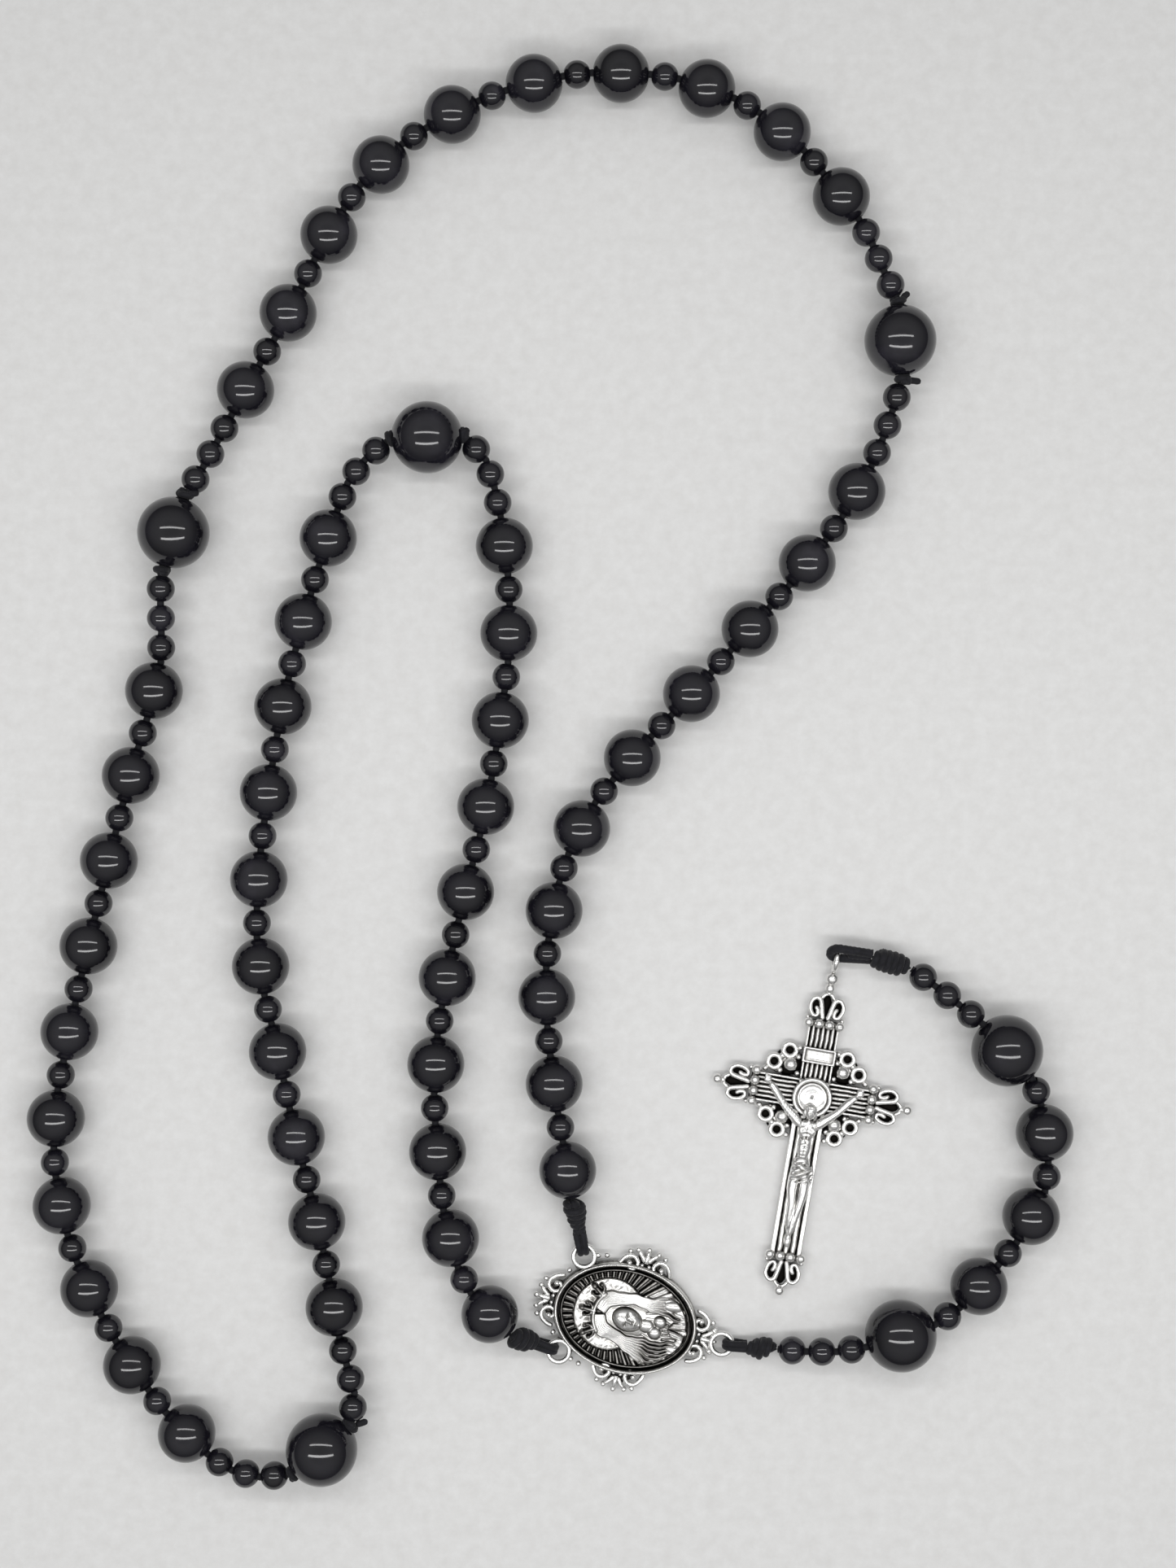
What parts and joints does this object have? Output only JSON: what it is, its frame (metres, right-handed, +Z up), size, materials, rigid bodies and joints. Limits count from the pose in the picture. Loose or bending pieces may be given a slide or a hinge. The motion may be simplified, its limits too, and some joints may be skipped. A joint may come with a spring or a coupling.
{
  "type": "rosary",
  "caption": "Rosary of polished black stone beads on knotted cord, with an oval centre medal, a beaded pendant and a cast crucifix, laid flat in soft curves.",
  "frame": {"origin": "centre of the rosary as it lies, on the surface it rests on", "axes": "+Z up from the surface, +Y away from the medal and pendant towards the top of the loop, +X to the side the crucifix lies on"},
  "size_m": [0.1457, 0.2011, 0.01],
  "materials": {
    "onyx": "highly polished black onyx",
    "cord": "matte braided cord",
    "cast_metal": "antique silver tone, darkened in the recesses"
  },
  "bodies": {
    "table_strands": {"ave_beads_table": "onyx", "spacer_beads_table": "onyx", "cord_table": "cord", "knots_pater_2": "cord"},
    "top_lobe": {"ave_beads_top": "onyx", "spacer_beads_top": "onyx", "cord_top": "cord", "knots_pater_1": "cord"},
    "crown_arc": {"ave_beads_crown": "onyx", "spacer_beads_crown": "onyx", "cord_crown": "cord"},
    "side_lobe": {"ave_beads_side": "onyx", "spacer_beads_side": "onyx", "cord_side": "cord"},
    "side_tip": {"ave_beads_tip": "onyx", "spacer_beads_tip": "onyx", "cord_tip": "cord", "knots_pater_3": "cord"},
    "inner_arch": {"ave_beads_arch": "onyx", "spacer_beads_arch": "onyx", "cord_arch": "cord", "knots_pater_4": "cord"},
    "medal_hub": {"medal": "cast_metal", "ave_beads_medal": "onyx", "spacer_beads_medal": "onyx", "cord_medal": "cord", "wrapped_knots_medal": "cord"},
    "pendant_start": {"pendant_cord_1": "cord", "pendant_knot": "cord", "pendant_spacer_1": "onyx"},
    "pendant_pater_part": {"pendant_spacer_2": "onyx", "pendant_cord_2": "cord"},
    "pendant_ave_part": {"pendant_spacer_3": "onyx", "pendant_cord_3": "cord"},
    "pendant_upper_part": {"pendant_spacer_4": "onyx", "pendant_cord_4": "cord"},
    "pendant_end": {"pendant_spacers_5": "onyx", "pendant_cord_5": "cord", "crucifix_knot": "cord"},
    "crucifix_body": {"crucifix": "cast_metal"},
    "fold_pair_top": {"fold_beads_top": "onyx"},
    "fold_pair_crown": {"fold_beads_crown": "onyx"},
    "fold_pair_side": {"fold_beads_side": "onyx"},
    "fold_pair_tip": {"fold_beads_tip": "onyx"},
    "fold_pair_arch": {"fold_beads_arch": "onyx"},
    "fold_pair_medal": {"fold_beads_medal": "onyx"},
    "bend_bead_1": {"pendant_bend_bead_1": "onyx"},
    "bend_bead_2": {"pendant_bend_bead_2": "onyx"},
    "bend_bead_3": {"pendant_bend_bead_3": "onyx"},
    "bend_bead_4": {"pendant_bend_bead_4": "onyx"},
    "pater_1": {"pater_bead_1": "onyx"},
    "pater_2": {"pater_bead_2": "onyx"},
    "pater_3": {"pater_bead_3": "onyx"},
    "pater_4": {"pater_bead_4": "onyx"},
    "pater_5": {"pater_bead_5": "onyx"},
    "pater_6": {"pater_bead_6": "onyx"},
    "pendant_ave_bead_1": {"pendant_ave_1": "onyx"},
    "pendant_ave_bead_2": {"pendant_ave_2": "onyx"},
    "pendant_ave_bead_3": {"pendant_ave_3": "onyx"}
  },
  "joints": [
    {"name": "fold_top", "type": "hinge", "parent": "table_strands", "child": "top_lobe", "pos_m": [0.00388, 0.05339, 0.00424], "axis": [0.9929, -0.1189, 0.0055], "range_deg": [0, 90]},
    {"name": "fold_top_pair", "type": "hinge", "parent": "table_strands", "child": "fold_pair_top", "pos_m": [0.00388, 0.05339, 0.00424], "axis": [0.9929, -0.1189, 0.0055], "range_deg": [0, 45]},
    {"name": "fold_crown", "type": "hinge", "parent": "top_lobe", "child": "crown_arc", "pos_m": [0.00468, 0.08251, 0.004], "axis": [0.9971, 0.0759, 0], "range_deg": [0, 90]},
    {"name": "fold_crown_pair", "type": "hinge", "parent": "top_lobe", "child": "fold_pair_crown", "pos_m": [0.00468, 0.08251, 0.004], "axis": [0.9971, 0.0759, 0], "range_deg": [0, 45]},
    {"name": "fold_side", "type": "hinge", "parent": "table_strands", "child": "side_lobe", "pos_m": [-0.05238, -0.03165, 0.004], "axis": [-0.9943, 0.1067, 0], "range_deg": [0, 90]},
    {"name": "fold_side_pair", "type": "hinge", "parent": "table_strands", "child": "fold_pair_side", "pos_m": [-0.05238, -0.03165, 0.004], "axis": [-0.9943, 0.1067, 0], "range_deg": [0, 45]},
    {"name": "fold_tip", "type": "hinge", "parent": "side_lobe", "child": "side_tip", "pos_m": [-0.04876, -0.0675, 0.004], "axis": [-0.9979, 0.0646, 0], "range_deg": [0, 90]},
    {"name": "fold_tip_pair", "type": "hinge", "parent": "side_lobe", "child": "fold_pair_tip", "pos_m": [-0.04876, -0.0675, 0.004], "axis": [-0.9979, 0.0646, 0], "range_deg": [0, 45]},
    {"name": "fold_arch", "type": "hinge", "parent": "table_strands", "child": "inner_arch", "pos_m": [-0.02298, 0.00213, 0.004], "axis": [0.9979, -0.0649, 0], "range_deg": [0, 90]},
    {"name": "fold_arch_pair", "type": "hinge", "parent": "table_strands", "child": "fold_pair_arch", "pos_m": [-0.02298, 0.00213, 0.004], "axis": [0.9979, -0.0649, 0], "range_deg": [0, 45]},
    {"name": "fold_medal", "type": "hinge", "parent": "table_strands", "child": "medal_hub", "pos_m": [-0.00406, -0.01212, 0.004], "axis": [-0.9781, 0.2084, 0], "range_deg": [0, 90]},
    {"name": "fold_medal_pair", "type": "hinge", "parent": "table_strands", "child": "fold_pair_medal", "pos_m": [-0.00406, -0.01212, 0.004], "axis": [-0.9781, 0.2084, 0], "range_deg": [0, 45]},
    {"name": "pendant_lift", "type": "hinge", "parent": "medal_hub", "child": "pendant_start", "pos_m": [0.02562, -0.08042, 0.00155], "axis": [0.0872, -0.9962, 0], "range_deg": [0, 90]},
    {"name": "pendant_bend_1", "type": "hinge", "parent": "pendant_start", "child": "pendant_pater_part", "pos_m": [0.03802, -0.0809, 0.00357], "axis": [0, 0, -1], "range_deg": [-10, 45]},
    {"name": "pendant_bend_1_bead", "type": "hinge", "parent": "pendant_start", "child": "bend_bead_1", "pos_m": [0.03802, -0.0809, 0.00357], "axis": [0, 0, -1], "range_deg": [-5, 22.5]},
    {"name": "pendant_bend_2", "type": "hinge", "parent": "pendant_pater_part", "child": "pendant_ave_part", "pos_m": [0.05539, -0.07575, 0.0045], "axis": [0, 0, 1], "range_deg": [-45, 8]},
    {"name": "pendant_bend_2_bead", "type": "hinge", "parent": "pendant_pater_part", "child": "bend_bead_2", "pos_m": [0.05539, -0.07575, 0.0045], "axis": [0, 0, 1], "range_deg": [-22.5, 4]},
    {"name": "pendant_bend_3", "type": "hinge", "parent": "pendant_ave_part", "child": "pendant_upper_part", "pos_m": [0.0693, -0.05637, 0.004], "axis": [0, 0, -1], "range_deg": [-5, 45]},
    {"name": "pendant_bend_3_bead", "type": "hinge", "parent": "pendant_ave_part", "child": "bend_bead_3", "pos_m": [0.0693, -0.05637, 0.004], "axis": [0, 0, -1], "range_deg": [-2.5, 22.5]},
    {"name": "pendant_bend_4", "type": "hinge", "parent": "pendant_upper_part", "child": "pendant_end", "pos_m": [0.05865, -0.03372, 0.00461], "axis": [0, 0, 1], "range_deg": [-45, 10]},
    {"name": "pendant_bend_4_bead", "type": "hinge", "parent": "pendant_upper_part", "child": "bend_bead_4", "pos_m": [0.05865, -0.03372, 0.00461], "axis": [0, 0, 1], "range_deg": [-22.5, 5]},
    {"name": "crucifix_swing", "type": "hinge", "parent": "pendant_end", "child": "crucifix_body", "pos_m": [0.0401, -0.0264, 0.00195], "axis": [0.986, -0.1668, 0], "range_deg": [-90, 0]},
    {"name": "pater_1_spin", "type": "hinge", "parent": "top_lobe", "child": "pater_1", "pos_m": [0.04878, 0.05992, 0.005], "axis": [-0.0515, 0.9987, 0], "continuous": true},
    {"name": "pater_2_spin", "type": "hinge", "parent": "table_strands", "child": "pater_2", "pos_m": [-0.05218, 0.03324, 0.005], "axis": [-0.3107, -0.9505, 0], "continuous": true},
    {"name": "pater_3_spin", "type": "hinge", "parent": "side_tip", "child": "pater_3", "pos_m": [-0.03161, -0.09421, 0.005], "axis": [0.7752, 0.6317, 0], "continuous": true},
    {"name": "pater_4_spin", "type": "hinge", "parent": "inner_arch", "child": "pater_4", "pos_m": [-0.01695, 0.04647, 0.005], "axis": [0.999, 0.0455, 0], "continuous": true},
    {"name": "pater_5_spin", "type": "hinge", "parent": "pendant_pater_part", "child": "pater_5", "pos_m": [0.04884, -0.07835, 0.005], "axis": [0.9507, 0.3101, 0], "continuous": true},
    {"name": "pater_6_spin", "type": "hinge", "parent": "pendant_upper_part", "child": "pater_6", "pos_m": [0.06362, -0.03875, 0.005], "axis": [-0.6732, 0.7395, 0], "continuous": true},
    {"name": "pendant_ave_bead_1_spin", "type": "hinge", "parent": "pendant_ave_part", "child": "pendant_ave_bead_1", "pos_m": [0.05987, -0.0717, 0.004], "axis": [0.6711, 0.7414, 0], "continuous": true},
    {"name": "pendant_ave_bead_2_spin", "type": "hinge", "parent": "pendant_ave_part", "child": "pendant_ave_bead_2", "pos_m": [0.06712, -0.06194, 0.004], "axis": [0.4809, 0.8768, 0], "continuous": true},
    {"name": "pendant_ave_bead_3_spin", "type": "hinge", "parent": "pendant_upper_part", "child": "pendant_ave_bead_3", "pos_m": [0.06901, -0.05031, 0.004], "axis": [-0.1256, 0.9921, 0], "continuous": true}
  ],
  "couplings": [
    {"joint": "fold_top_pair", "follows": "fold_top", "ratio": 0.5},
    {"joint": "fold_crown_pair", "follows": "fold_crown", "ratio": 0.5},
    {"joint": "fold_side_pair", "follows": "fold_side", "ratio": 0.5},
    {"joint": "fold_tip_pair", "follows": "fold_tip", "ratio": 0.5},
    {"joint": "fold_arch_pair", "follows": "fold_arch", "ratio": 0.5},
    {"joint": "fold_medal_pair", "follows": "fold_medal", "ratio": 0.5},
    {"joint": "pendant_bend_1_bead", "follows": "pendant_bend_1", "ratio": 0.5},
    {"joint": "pendant_bend_2_bead", "follows": "pendant_bend_2", "ratio": 0.5},
    {"joint": "pendant_bend_3_bead", "follows": "pendant_bend_3", "ratio": 0.5},
    {"joint": "pendant_bend_4_bead", "follows": "pendant_bend_4", "ratio": 0.5}
  ]
}
